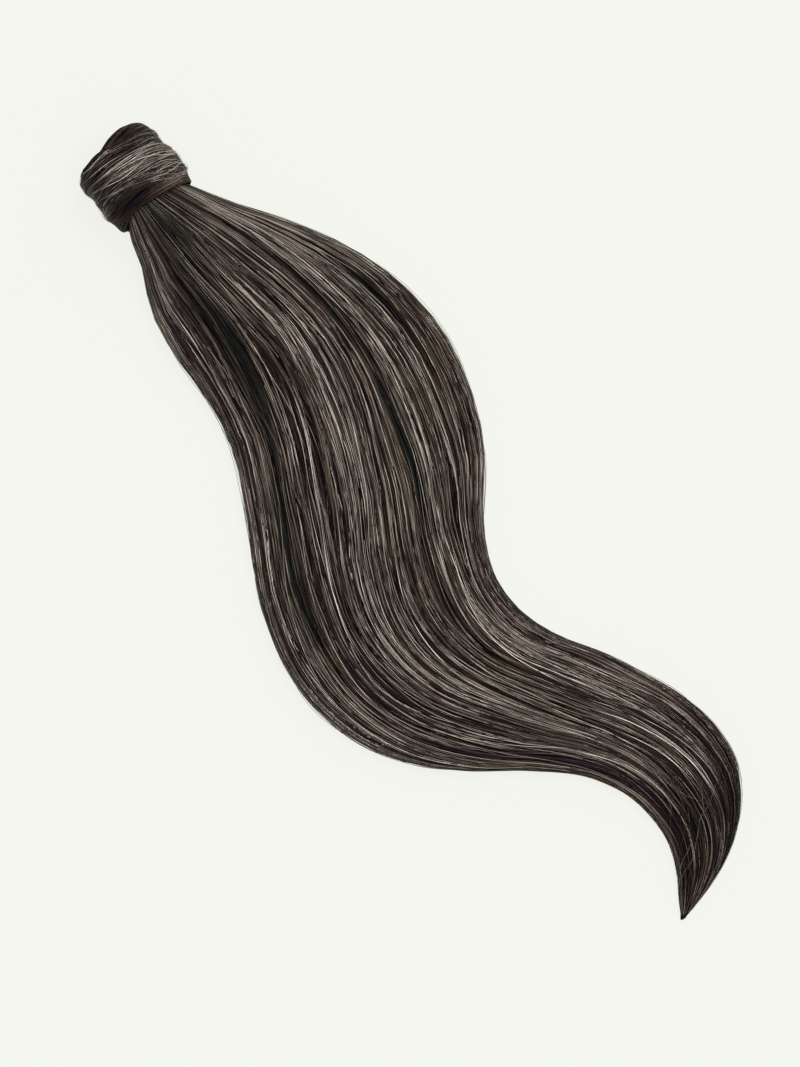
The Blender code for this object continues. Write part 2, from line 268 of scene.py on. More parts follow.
# Where the hair of the wound lock runs: the edges of its sweep over the top, from the right to the left
SWEEP_COLUMNS = ("angle_deg", "mouth_edge", "neck_edge")
MAIN_SWEEP = (
    (-90, -13, -39),
    (-45, -12.5, -41),
    (0, -11, -39.6),
    (45, -5.6, -34.4),
    (70, -3.2, -29.5),
    (98, -0.4, -26.2),
    (125, 0, -25.2),
    (150, -0.6, -26),
    (180, -7.5, -28),
    (215, -14, -31),
    (260, -17, -34),
)
NECK_SWEEP = (
    (-90, -36, -41),
    (-45, -36.5, -43),
    (0, -36.5, -43),
    (45, -32, -39.3),
    (70, -30, -37),
    (98, -28.6, -34.9),
    (125, -28.2, -33.8),
    (155, -27, -35.2),
    (180, -26, -37.3),
    (215, -24, -37.6),
    (260, -24, -38.6),
)
# The deep shade between the two: angle, place, their reaches, and how far the hair sinks
LOCK_VALLEY = (108, -27.4, 34, 2.4, 1.9)
# Where the hair in that valley is tinted teal as painted shade: angle, place, their reaches, strength
LOCK_PAINTED_TEAL = (112, -25, 24, 3.6, 1)
# Painted highlights and painted shade on the wound lock: angle round the band, distance along it, reach of
# both, strength, a painted highlight above 0 and painted shade below
LOCK_PAINTED_LIGHT = (
    (58, -18, 24, 7, 0.05),
    (50, -31, 26, 4, 0.12),
    (40, -38, 26, 3, 0.15),
    (108, -27.4, 34, 3.8, -0.75),
    (138, -15, 36, 11, -0.3),
    (62, -8, 20, 3.5, -0.25),
)

# Coats of the wound lock, as those of the tail; stray is a share of the sweep, and points belong to a strand
WOUND_STEP = 11.0
LOCK_COLUMNS = ("seed", "count", "tone_low", "tone_high", "shallow", "deep", "radius", "stray", "points")
LOCK_COATS = {
    "rim_turn_strands": (61, 240, 0.05, 0.5, 0, 0.6, 0.26, 0.022, 34),
    "neck_turn_strands": (67, 240, 0.05, 0.52, 0, 0.6, 0.24, 0.022, 30),
    "main_turn_strands": (71, 800, 0.05, 0.41, 0, 0.7, 0.22, 0.02, 30),
    "main_turn_grey": (73, 60, 0.66, 1.00, -0.35, 0.1, 0.1, 0.035, 30),
    "wound_lock_strays": (79, 44, 0.4, 1.00, -1.5, -0.3, 0.09, 0.08, 30),
}

# Comb sewn inside the top of the band
COMB_TEETH = 7
COMB_SPAN_DEG = 84.0
COMB_THICKNESS = 1.4
COMB_START = -7.0
COMB_SPINE_DEPTH = 4.0
COMB_TOOTH_LENGTH = 17.0

# Strands: a real hair is 0.07 mm thick, too fine to show, so each strand is drawn as a flat wisp of several
# hairs. Streaks HAIR_SPACING apart on it stand for hairs; they fade over HAIR_FADE and lean by HAIR_SLANT
TUBE_SIDES = 3
MASS_DEPTH = 1.5
HAIR_SPACING = 0.55
HAIR_STEP = 9.7
HAIR_FADE = 48.0
HAIR_SLANT = 0.03
# Wisps that strands keep together in, side by side round the tail from SHARE_LOW, and how far a wisp wavers
WISPS = 110
WISP_WAVER = 0.005
SHARE_LOW = -0.1
SHARE_SPAN = 1.2
SIDE_REACH = 0.03

# Coats of the tail, from the deepest: tones and depths are from one limit to the other, stray is how far a
# strand wavers as a share of the width, edge_rise is how much of its depth it loses at the tail's edges,
# reach is how far from the middle strands begin, crest is how much the painted highlight on a crest lightens
# them, sides is the share of them that begin at the tail's sides, and short is how much sooner than its place
# would allow a strand may end
COAT_COLUMNS = (
    "seed", "tone_low", "tone_high", "shallow", "deep", "radius", "stray", "edge_rise", "reach", "crest",
    "sides", "short",
)
COATS = {
    "tail_dark_strands": (11, 0.12, 0.3, 0.4, 1.7, 1.9, 0.003, 0, 0.48, 0.1, 0, 0),
    "tail_brown_strands": (23, 0.15, 0.39, 0.1, 1.4, 0.95, 0.006, 0.5, 0.56, 0.17, 0.12, 10),
    "tail_fine_strands": (29, 0.08, 0.48, -0.1, 1.2, 0.7, 0.011, 0.8, 0.57, 0.2, 0.1, 30),
    "tail_grey_strands": (37, 0.62, 1.00, -0.2, 1.2, 0.43, 0.014, 1, 0.57, 0.22, 0.04, 70),
}

# Stray hairs in all; the first run off the left edge, the next off the right, the rest cross the tail and
# the last of these cross it near the tip
STRAY_HAIRS = 420
STRAYS_LEFT = 120
STRAYS_CROSSING = 165
STRAYS_NEAR_TIP = 380

# Tones of hair, from 0, the darkest, to 1, silver
HAIR_TONES = (
    (0.00, "#0B0705"),
    (0.25, "#1C1410"),
    (0.5, "#43362C"),
    (0.75, "#8E7F71"),
    (1.00, "#F0E6D9"),
)
# Violet and teal casts mixed into the hair's colour: in part at random, and more strongly where shade is
# painted into the tail's partings and the wound lock's valley
VIOLET_CAST = "#34213C"
TEAL_CAST = "#12262A"

# Studio: a floor that glows, soft lights with their spread and the side they shine from, and the view
FLOOR_GLOW = 0.9
FLOOR_REACH = 6.0
LIGHTS = {"key": (50, (1, 0.12, 1.2)), "overhead": (60, (0.12, 0, 1))}
VIEW_HEIGHT = 0.54417
VIEW_MIDDLE = (-30.1, -245, 6)
VIEW_TURN_DEG = -45.0


def linear(hex_colour):
    """Linear red, green and blue of an sRGB hex colour."""
    srgb = np.array([int(hex_colour[i : i + 2], 16) for i in (1, 3, 5)]) / 255
    return np.where(srgb <= 0.04045, srgb / 12.92, ((srgb + 0.055) / 1.055) ** 2.4)


def frame_shift():
    """Where the centre of the wound mouth lies in the frame, in millimetres."""
    low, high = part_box("sewn_band")
    return np.array([(low.x + high.x) / 2 / MM, high.y / MM - BAND_MOUTH, 0.0])


def curve_through(keys, values, at):
    """Values on a smooth curve through a table, with the slopes of parabolas through neighbours."""
    slopes = np.gradient(values, keys, axis=0)
    flat = np.ravel(at)
    row = np.clip(np.searchsorted(keys, flat) - 1, 0, len(keys) - 2)
    step = (keys[row + 1] - keys[row])[:, None]
    t = (flat - keys[row])[:, None] / step
    start = values[row] * (1 + 2 * t) * (1 - t) ** 2 + slopes[row] * step * t * (1 - t) ** 2
    end = values[row + 1] * t**2 * (3 - 2 * t) + slopes[row + 1] * step * t**2 * (t - 1)
    return (start + end).reshape(*np.shape(at), values.shape[1])


def named(names, values):
    """A table's row, or the columns of an array, under the names of its columns."""
    parts = np.moveaxis(values, -1, 0) if isinstance(values, np.ndarray) else values
    return SimpleNamespace(**dict(zip(names, parts)))


def unit(value):
    """The value, held between 0 and 1."""
    return np.clip(value, 0, 1)


def ramp(value, start, end):
    """0 before start, 1 after end, and smooth between them."""
    t = unit((value - start) / (end - start))
    return t * t * (3 - 2 * t)


def point(x, y, z):
    """Points or directions from arrays of their parts, which only have to fit together."""
    return np.stack(np.broadcast_arrays(x, y, z), axis=-1)


def ellipse(half_width, half_height, angle, y):
    """Points round the band's axis, at an angle and a distance along it."""
    return point(half_width * np.cos(angle), y, AXIS_HEIGHT + half_height * np.sin(angle))


def tail_keys():
    """Distance of each section from the roots, along the middle of the tail."""
    centres = np.array(TAIL_SECTIONS)[:, :2]
    steps = np.linalg.norm(np.diff(centres, axis=0), axis=1)
    return np.concatenate([[0.0], np.cumsum(steps)])


TAIL_LENGTH = tail_keys()[-1]


def tail_columns(place):
    """The tail's section sizes at any places along it."""
    columns = named(TAIL_COLUMNS, curve_through(tail_keys(), np.array(TAIL_SECTIONS), place))
    columns.underside = np.maximum(columns.underside, 0)
    columns.flatness = unit(columns.flatness)
    columns.width = np.maximum(columns.width, 0.8)
    columns.top = np.maximum(columns.top, 1.2)
    return columns


def lock_relief(across, place):
    """How far the valleys between locks drop at a place, less the swell of each lock's crown."""
    valleys = named(VALLEY_COLUMNS, np.array(VALLEYS))
    keys = np.array([0.0, 0.4 * TAIL_LENGTH, TAIL_LENGTH])
    shares = np.stack([valleys.at_neck, valleys.at_widest, valleys.at_tip])
    edges = curve_through(keys, shares, place)
    ends = np.ones((*np.shape(place), 1))
    edges = np.concatenate([0 * ends, edges, ends], axis=-1)
    depths = np.concatenate([[0.0], valleys.depth, [0.0]])
    drop = np.zeros(np.shape(across))
    for lock in range(len(depths) - 1):
        begin, finish = edges[..., lock], edges[..., lock + 1]
        inside = unit((across - begin) / (finish - begin))
        crown = 4 * inside * (1 - inside)
        deep = depths[lock] + (depths[lock + 1] - depths[lock]) * inside
        swell = SWELL * np.sin(TURN * place / SWELL_LENGTH + 2.1 * lock)
        here = (across >= begin) & (across < finish)
        drop = np.where(here, deep * (1 - crown) - swell * crown, drop)
    grown = ramp(place, VALLEY_START, VALLEY_START + VALLEY_FADE_IN)
    return drop * grown * ramp(TAIL_LENGTH - place, 0, VALLEY_FADE_OUT)


def flow_across(lay, place):
    """How far across the tail hair of a lay runs at a place: the flow table read smoothly along the tail
    and evenly between its lays. A lay under 0 or over 1 goes on along the underside."""
    table = np.array(FLOW)
    lays = np.array(FLOW_LAYS)
    inside = unit(lay)
    across = curve_through(table[:, 0], table[:, 1:], place)
    across = np.broadcast_to(across, (*np.shape(inside), len(lays)))
    column = np.clip(np.searchsorted(lays, inside, side="right") - 1, 0, len(lays) - 2)
    low = np.take_along_axis(across, column[..., None], axis=-1)[..., 0]
    high = np.take_along_axis(across, column[..., None] + 1, axis=-1)[..., 0]
    share = (inside - lays[column]) / (lays[column + 1] - lays[column])
    return unit(low + (high - low) * share) + lay - inside


def partings_and_painted_light(lay, place):
    """Tone of painted light and shade, and the sink and sideways push, that each parting and crest gives the
    hair at a place: each row is a bell across the lays whose height fades in and out along the tail; where
    the hair sinks it also parts."""
    tone, sink, push = 0, 0, 0
    for row in PARTINGS_AND_PAINTED_LIGHT:
        p = named(PARTING_COLUMNS, row)
        away = (lay - p.lay) / p.half_width
        fade = ramp(place, p.place_start - PARTING_BEYOND, p.place_start + PARTING_WITHIN)
        fade = fade * (1 - ramp(place, p.place_end - PARTING_WITHIN, p.place_end + PARTING_BEYOND))
        height = fade * np.exp(-(away**2))
        # Painted highlight where a row's tone is above 0, painted shade where it is below
        tone = tone + p.tone * height
        sink = sink + p.sink * height
        push = push + p.sink * height * away * p.half_width * PARTING_PUSH
    return tone, sink, push


def turn_share(table, angle, y):
    """A turn's columns at an angle, and how far across the turn a distance along the band lies."""
    columns = turn_columns(table, angle)
    return columns, (columns.mouth_edge - y) / (columns.mouth_edge - columns.neck_edge)


def tail_point(lay, place, depth):
    """Point of the tail where hair of a lay runs, 0 to 1 from left to right over the top and beyond these
    along the underside, a depth below its surface; and the direction that faces out there."""
    round_share = flow_across(lay, place)
    columns = tail_columns(place)
    below = (round_share < 0) | (round_share > 1)
    across = unit(np.where(round_share > 1, 2 - round_share, np.abs(round_share)))
    rise = 1 - (2 * across - 1) ** 2
    top, underside, flatness = columns.top, columns.underside, columns.flatness
    edge = underside + (top - underside) * (0.5 - (0.5 - EDGE_SHARE) * flatness)
    over = edge + (top - edge) * rise ** (0.5 - (0.5 - DOME_POWER) * flatness)
    over = over - RELIEF_SHARE * lock_relief(unit(lay) + 0 * across, place)
    round_below = edge - (edge - underside) * np.sqrt(rise)
    near_edge = 1 - unit(np.sqrt(rise) / FLAT_SHARE)
    flat_below = edge - (edge - underside) * np.sqrt(1 - near_edge**2)
    under = round_below + (flat_below - round_below) * flatness
    scaled = depth * np.clip(top / 12, 0.1, 1)
    keep_over = np.clip(1 - scaled / (top - edge), 0, 1.3)
    keep_under = unit(1 - scaled / (edge - underside))
    z = np.where(below, edge - (edge - under) * keep_under, edge + (over - edge) * keep_over)
    angle = np.radians(columns.across_deg)
    sideways = (across - 0.5) * np.maximum(columns.width - 2 * scaled, 0.4)
    x = columns.centre_x + sideways * np.cos(angle)
    y = columns.centre_y + sideways * np.sin(angle)
    lean = np.clip(2 * across - 1, -1, 1) ** 7
    upright = np.where(below, -1, 1) * np.sqrt(1 - lean**2)
    return point(x, y, z), point(lean * np.cos(angle), lean * np.sin(angle), upright)


def seat_size(y):
    """Half width and half height of what the wound lock lies on: the band, then the hair that leaves it."""
    flare = SEAT_FLARE * ramp(BAND_END - y, -2, 11)
    return BAND_HALF_WIDTH + flare, BAND_HALF_HEIGHT + 0.3 * flare


def turn_columns(table, angle):
    """A turn's table read at any angles, all the way round."""
    rows = np.array(table)
    around = np.concatenate([rows - [360, 0, 0, 0], rows, rows + [360, 0, 0, 0]])
    return named(TURN_COLUMNS, curve_through(around[:, 0], around, np.degrees(angle) % 360))


def turn_height(table, angle, y):
    """How far a turn stands over its seat at an angle round the band and a distance along it."""
    columns, share = turn_share(table, angle, y)
    bulge = np.clip(1 - np.abs(2 * share - 1) ** 2.4, 0, None) ** 0.55
    ridge = TURN_RIDGE_DEPTH * np.abs(np.sin(math.pi * TURN_RIDGES * share)) - TURN_RIDGE_DEPTH
    return columns.thickness * bulge + ridge * (bulge > 0)


def height_under(tables, angle, y):
    """The most that the turns below stand over the seat near a place, which one over them clears."""
    highest = np.zeros_like(y)
    for table in tables:
        for turned in (-0.08, 0, 0.08):
            for moved in (-1.6, -0.8, 0, 0.8, 1.6):
                highest = np.maximum(highest, turn_height(table, angle + turned, y + moved))
    return highest


def turn_surface(table, below, angle, y):
    """Heights of a turn's seat and of its outside over the band, at an angle and a distance along it."""
    _, share = turn_share(table, angle, y)
    seat = height_under(below, angle, y) + CLEARANCE
    lip = TURN_LIP * unit(8 * share * (1 - share) + 0.5)
    return seat, np.maximum(seat + lip, turn_height(table, angle, y))


def round_the_band(angle, y, height):
    """The point that stands a height over the seat, pressed flat where it would go below the table."""
    half_width, half_height = seat_size(y)
    points = ellipse(half_width + height, half_height + height, angle, y)
    points[..., 2] = np.maximum(points[..., 2], 0.25)
    return points


def tones(tone, cast=1, amount=0):
    """Hair colours: the table of tones read at each tone, with an amount of violet or teal mixed in."""
    stops = np.array([stop for stop, _ in HAIR_TONES])
    colours = np.array([linear(colour) for _, colour in HAIR_TONES])
    clipped = unit(tone)
    base = np.stack([np.interp(clipped, stops, colours[:, i]) for i in range(3)], axis=-1)
    tinted = np.where(np.expand_dims(cast, -1) > 0, linear(VIOLET_CAST), linear(TEAL_CAST))
    share = (amount * (1 - 0.7 * clipped))[..., None]
    return base * (1 - share) + tinted * share


def sines(rng, count, place, shortest, longest):
    """A sine along the length for each of a number of strands, each of its own wavelength and phase."""
    length = rng.uniform(shortest, longest, (count, 1))
    phase = rng.uniform(0.0, TURN, (count, 1))
    return np.sin(TURN * place / length + phase)


def add_object(name, data):
    """A new object in the scene."""
    obj = bpy.data.objects.new(name, data)
    bpy.context.scene.collection.objects.link(obj)
    return obj


def mesh_object(name, points, faces, material):
    """A smooth mesh object from points in millimetres from the mouth and faces of 3 or 4 corners."""
    mesh = bpy.data.meshes.new(name)
    placed = (points.reshape(-1, 3) + frame_shift()) * MM
    corners = [np.asarray(group) for group in faces]
    mesh.vertices.add(len(placed))
    mesh.vertices.foreach_set("co", placed.astype(np.float32).ravel())
    sizes = np.concatenate([np.full(len(group), group.shape[1]) for group in corners])
    indices = np.concatenate([group.ravel() for group in corners])
    mesh.loops.add(len(indices))
    mesh.loops.foreach_set("vertex_index", indices.astype(np.int32))
    mesh.polygons.add(len(sizes))
    mesh.polygons.foreach_set("loop_start", (np.cumsum(sizes) - sizes).astype(np.int32))
    mesh.polygons.foreach_set("use_smooth", np.ones(len(sizes), bool))
    mesh.update(calc_edges=True)
    mesh.validate()
    mesh.materials.append(material)
    return add_object(name, mesh)


def point_values(obj, name, values):
    """Stores a vector or a colour at each point of a mesh for its material to read."""
    kind, field = {3: ("FLOAT_VECTOR", "vector"), 4: ("FLOAT_COLOR", "color")}[values.shape[-1]]
    attribute = obj.data.attributes.new(name, kind, "POINT")
    attribute.data.foreach_set(field, values.astype(np.float32).ravel())


def tube_faces(count, points, sides):
    """Faces of closed tubes: walls from each ring to the next, and a cap on both ends of every tube."""
    first = (np.arange(count) * points * sides)[:, None, None]
    ring = (np.arange(points - 1) * sides)[None, :, None]
    corner = np.arange(sides)[None, None, :]
    here = first + ring + corner
    beside = first + ring + (corner + 1) % sides
    walls = np.stack([here, here + sides, beside + sides, beside], axis=-1).reshape(-1, 4)
    start = first[:, 0] + np.arange(sides)
    end = start[:, ::-1] + (points - 1) * sides
    return walls, np.concatenate([start, end])


def tubes(name, paths, out, radius, colours, material, flat, sides=TUBE_SIDES):
    """Tubes along paths: each ring is the path's point plus its radius times the cosine of a corner's angle
    sideways and, flattened, its sine outwards, both square to the path. The lay of a corner is its distance
    sideways, another stretch of it for each tube, and its distance along the path."""
    ahead = np.gradient(paths, axis=1)
    ahead = ahead / np.linalg.norm(ahead, axis=-1, keepdims=True)
    side = np.cross(ahead, out)
    side = side / np.maximum(np.linalg.norm(side, axis=-1, keepdims=True), 1e-6)
    up = np.cross(side, ahead)
    angle = TURN * (np.arange(sides) + 0.25) / sides
    across = side[..., None, :] * np.cos(angle)[:, None]
    upward = up[..., None, :] * np.sin(angle)[:, None] * flat
    rings = paths[..., None, :] + radius[..., None, None] * (across + upward)
    rings[..., 2] = np.maximum(rings[..., 2], 0.05)
    walls, caps = tube_faces(paths.shape[0], paths.shape[1], sides)
    obj = mesh_object(name, rings, (walls, caps), material)
    steps = np.linalg.norm(np.diff(paths, axis=1), axis=-1)
    run = np.concatenate([np.zeros((len(paths), 1)), np.cumsum(steps, axis=1)], axis=1)
    index = np.arange(len(paths))[:, None, None]
    slant = HAIR_SLANT * (2 * (0.618 * index % 1) - 1)
    sideways = 7.3 * index + radius[..., None] * np.cos(angle) + slant * run[..., None]
    point_values(obj, "lay", point(sideways, run[..., None], 0))
    if colours is not None:
        full = np.concatenate([colours, np.ones((*colours.shape[:2], 1))], axis=-1)
        point_values(obj, "hair_colour", np.repeat(full[:, :, None], sides, axis=2))
    return obj


def loft(name, rings, flow, material, closed):
    """A closed skin over rings of points, joined in a loop or capped at both ends, and faced out."""
    count, size = rings.shape[:2]
    here = np.arange(count if closed else count - 1)[:, None] * size + np.arange(size)[None, :]
    beside = np.roll(here, -1, axis=1)
    further = (here + size) % (count * size)
    further_beside = (beside + size) % (count * size)
    walls = np.stack([here, further, further_beside, beside], axis=-1).reshape(-1, 4)
    points = rings.reshape(-1, 3)
    faces = [walls]
    if not closed:
        points = np.concatenate([points, rings[:1].mean(axis=1), rings[-1:].mean(axis=1)])
        last = (count - 1) * size + np.arange(size)
        first = np.arange(size)
        centre = np.full(size, count * size)
        faces.append(np.stack([first, np.roll(first, -1), centre], axis=-1))
        faces.append(np.stack([np.roll(last, -1), last, centre + 1], axis=-1))
        flow = np.concatenate([flow.reshape(-1, 3), flow[:1].mean(axis=1), flow[-1:].mean(axis=1)])
    a, b, c, d = (points[walls[:, i]] for i in range(4))
    volume = np.einsum("ij,ij->i", a, np.cross(b, c) + np.cross(c, d)).sum()
    if volume < 0:
        faces = [group[:, ::-1] for group in faces]
    obj = mesh_object(name, points, faces, material)
    point_values(obj, "flow", flow.reshape(-1, 3))
    return obj


def add_node(tree, kind, settings=(), links=()):
    """Adds a node, sets its properties and sockets, and links its inputs to other nodes' outputs. A number
    stands for the socket at that place, where several sockets have one name."""
    node = tree.nodes.new(kind)
    for key, value in dict(settings).items():
        if isinstance(key, int) or key in node.inputs:
            node.inputs[key].default_value = value
        else:
            setattr(node, key, value)
    for socket, output in dict(links).items():
        tree.links.new(node.inputs[socket], output)
    return node


def paint(hex_colour):
    """The value of a colour socket for an sRGB hex colour."""
    return (*linear(hex_colour), 1)


def finish_material(name, constants):
    """A new material and its Principled shader, with constants on the shader's own sockets."""
    material = bpy.data.materials.new(name)
    material.use_nodes = True
    tree = material.node_tree
    shader = tree.nodes["Principled BSDF"]
    for socket, value in constants.items():
        shader.inputs[socket].default_value = value
    return material, tree, shader


def point_data(tree, name):
    """The values that a mesh stores at its points under a name."""
    return add_node(tree, "ShaderNodeAttribute", {"attribute_name": name}).outputs


def maths(tree, operation, value, by):
    """A sum on a value and a number."""
    return add_node(tree, "ShaderNodeMath", {"operation": operation, 1: by}, {0: value}).outputs["Value"]


def noise(tree, place, scale, detail, roughness=0.5):
    """Soft noise at a place."""
    settings = {"Scale": scale, "Detail": detail, "Roughness": roughness}
    return add_node(tree, "ShaderNodeTexNoise", settings, {"Vector": place}).outputs["Fac"]


def blend(tree, value, dark, light, start=0, end=1):
    """Colour that goes from dark to light while a value goes from start to end."""
    node = add_node(tree, "ShaderNodeValToRGB", {}, {"Fac": value})
    for element, position, colour in zip(node.color_ramp.elements, (start, end), (dark, light)):
        element.position = position
        element.color = paint(colour)
    return node.outputs["Color"]


def raise_surface(tree, shader, height, strength, distance, invert=False):
    """Makes a shader's surface look raised where a value is high."""
    settings = {"Strength": strength, "Distance": distance, "invert": invert}
    bump = add_node(tree, "ShaderNodeBump", settings, {"Height": height})
    tree.links.new(shader.inputs["Normal"], bump.outputs["Normal"])


def strand_finish(name, roughness, shine, darkest, lightest):
    """Human hair, bare, drawn as flat wisps. A real hair is too fine to show, so streaks half a millimetre
    apart stand for single hairs and fade in and out along the wisp. The scales along the shafts give a soft
    line of light."""
    constants = {"Roughness": roughness, "IOR": 1.55, "Specular IOR Level": shine}
    material, tree, shader = finish_material(name, constants)
    lay = add_node(tree, "ShaderNodeSeparateXYZ", {}, {0: point_data(tree, "lay")["Vector"]}).outputs
    hair = maths(tree, "MULTIPLY", maths(tree, "SNAP", lay["X"], HAIR_SPACING), HAIR_STEP)
    along = maths(tree, "DIVIDE", lay["Y"], HAIR_FADE)
    drawn = add_node(tree, "ShaderNodeCombineXYZ", {}, {"X": hair, "Y": along})
    streaks = {"interpolation_type": "SMOOTHSTEP", "From Min": 0.38, "From Max": 0.66}
    streaks |= {"To Min": darkest, "To Max": lightest}
    pattern = noise(tree, drawn.outputs[0], 1, 1, 0.6)
    bright = add_node(tree, "ShaderNodeMapRange", streaks, {"Value": pattern}).outputs["Result"]
    colour = point_data(tree, "hair_colour")["Color"]
    scaled = add_node(tree, "ShaderNodeVectorMath", {"operation": "SCALE"}, {0: colour, "Scale": bright})
    tree.links.new(shader.inputs["Base Color"], scaled.outputs["Vector"])
    raise_surface(tree, shader, maths(tree, "PINGPONG", lay["X"], HAIR_SPACING / 2), 0.35, 0.0006)
    return material


def shared(name, maker, *settings):
    """The material of that name, made the first time it is asked for."""
    return bpy.data.materials.get(name) or maker(name, *settings)


def pigmented_hair():
    """Dark brown human hair: pigment all through the shaft swallows most of the light."""
    return shared("pigmented_human_hair", strand_finish, 0.45, 0.06, 0.03, 3.5)


def grey_hair():
    """Grey human hair: no pigment, so the shaft is pale and shines more."""
    return shared("grey_human_hair", strand_finish, 0.38, 0.25, 0.25, 1.8)


def mass_finish(name, streaks, run):
    """Human hair, massed: what shows between strands is dark, fine streaked hair, its colour darkened further
    as painted shade of the depth under the strands. The pattern has a number of streaks across the piece,
    each drawn out to a run of its length."""
    material, tree, shader = finish_material(name, {"Roughness": 0.5, "Specular IOR Level": 0.05})
    settings = {"operation": "MULTIPLY", 1: (streaks, run, 1)}
    drawn_out = add_node(tree, "ShaderNodeVectorMath", settings, {0: point_data(tree, "flow")["Vector"]})
    fine = noise(tree, drawn_out.outputs[0], 1, 3, 0.7)
    tree.links.new(shader.inputs["Base Color"], blend(tree, fine, "#050302", "#4A3D34", 0.42, 0.72))
    raise_surface(tree, shader, fine, 0.5, 0.0004)
    return material


def cloth_finish(name):
    """Polyester weft tape: flat, close black cloth with a fine weave that drinks the light."""
    material, tree, shader = finish_material(name, {"Roughness": 0.9, "Sheen Weight": 0.2})
    threads = {"Scale": 1, "Mortar Size": 0.04, "Brick Width": 0.9, "Row Height": 0.45}
    colours = {"Color1": paint("#1A1716"), "Color2": paint("#262220"), "Mortar": paint("#0B0A0A")}
    flow = point_data(tree, "flow")
    weave = add_node(tree, "ShaderNodeTexBrick", {**threads, **colours}, {"Vector": flow["Vector"]})
    tree.links.new(shader.inputs["Base Color"], weave.outputs["Color"])
    raise_surface(tree, shader, weave.outputs["Fac"], 0.6, 0.0003, invert=True)
    return material


def comb_finish(name):
    """Moulded acetate: dark brown, smooth with a soft gloss and faint cloudy depth."""
    material, tree, shader = finish_material(name, {})
    place = add_node(tree, "ShaderNodeTexCoord")
    cloud = noise(tree, place.outputs["Object"], 180, 3)
    tree.links.new(shader.inputs["Base Color"], blend(tree, cloud, "#1C1410", "#3B2A20"))
    rough = add_node(tree, "ShaderNodeMapRange", {"To Min": 0.28, "To Max": 0.42}, {"Value": cloud})
    tree.links.new(shader.inputs["Roughness"], rough.outputs["Result"])
    return material


def place_piece(obj, slot, *nodes):
    """Fixes a piece to the part and hides the solids it stands for; the finish it is given is not used."""
    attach(obj, "root")
    if nodes:
        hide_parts(*nodes)


def clumped(rng, start, place, stray):
    """Shares round the tail of strands that keep together in wisps: a wisp wavers slowly and tightens and
    loosens along its length, and each strand wavers across its own place in it by a stray distance. Near
    the tail's edges both waver little, so that the outline stays even."""
    count = len(start)
    which = np.clip((start[:, 0] - SHARE_LOW) / SHARE_SPAN * WISPS, 0, WISPS - 1).astype(int)
    middle = (np.arange(WISPS) + 0.5) / WISPS * SHARE_SPAN + SHARE_LOW
    middle = middle + rng.uniform(-0.3, 0.3, WISPS) / WISPS
    slow = sines(rng, WISPS, place[:1], 170, 330)[which]
    quick = sines(rng, WISPS, place[:1], 80, 140)[which]
    tight = 1 - 0.15 * (0.5 + 0.5 * sines(rng, WISPS, place[:1], 90, 210)[which])
    own = sines(rng, count, place, 70, 190) * rng.uniform(0.1, 1, (count, 1)) ** 1.5
    offset = start - middle[which][:, None]
    share = middle[which][:, None] + offset * tight
    steady = 1 - 0.85 * unit(np.abs(2 * start - 1)) ** 8
    return share + steady * (WISP_WAVER * (slow + 0.45 * quick) + stray * own), which


def tail_strands(name, share, place, depth, width, colours, material):
    """A piece of strands on the tail, each at its shares, places and depths, and kept off the table."""
    paths, out = tail_point(share, place, depth)
    paths[..., 2] = np.maximum(paths[..., 2], 0.35)
    place_piece(tubes(name, paths, out, width, colours, material, flat=0.45), "hair")


def strand_ends(rng, count):
    """Where each strand ends: as many go on as the width has room for, and the rest end early."""
    places = np.linspace(0, TAIL_LENGTH, 400)
    room = np.clip(tail_columns(places).width / 92, 0.1, 1)
    room = np.minimum.accumulate(np.where(places < 190, 1, room))
    wanted = rng.uniform(0, 1, count)
    ends = np.interp(-wanted, -room, places, left=places[-1])
    return np.clip(ends + rng.uniform(-9, 7, count), SHORTEST_STRAND, TAIL_LENGTH - 0.5)


def tail_places(ends, points):
    """Places of a strand's points along the tail: shared by all strands as far as the shortest reaches, so
    that neighbours bend alike, and then even up to each strand's own end."""
    shared_points = int(points * 0.45)
    same = np.linspace(1.0, SHORTEST_STRAND - 2.0, shared_points)
    rest = np.linspace(0, 1, points - shared_points + 1)[1:]
    own = same[-1] + (ends - same[-1]) * rest[None, :]
    return np.concatenate([np.broadcast_to(same, (len(ends), shared_points)), own], axis=1)


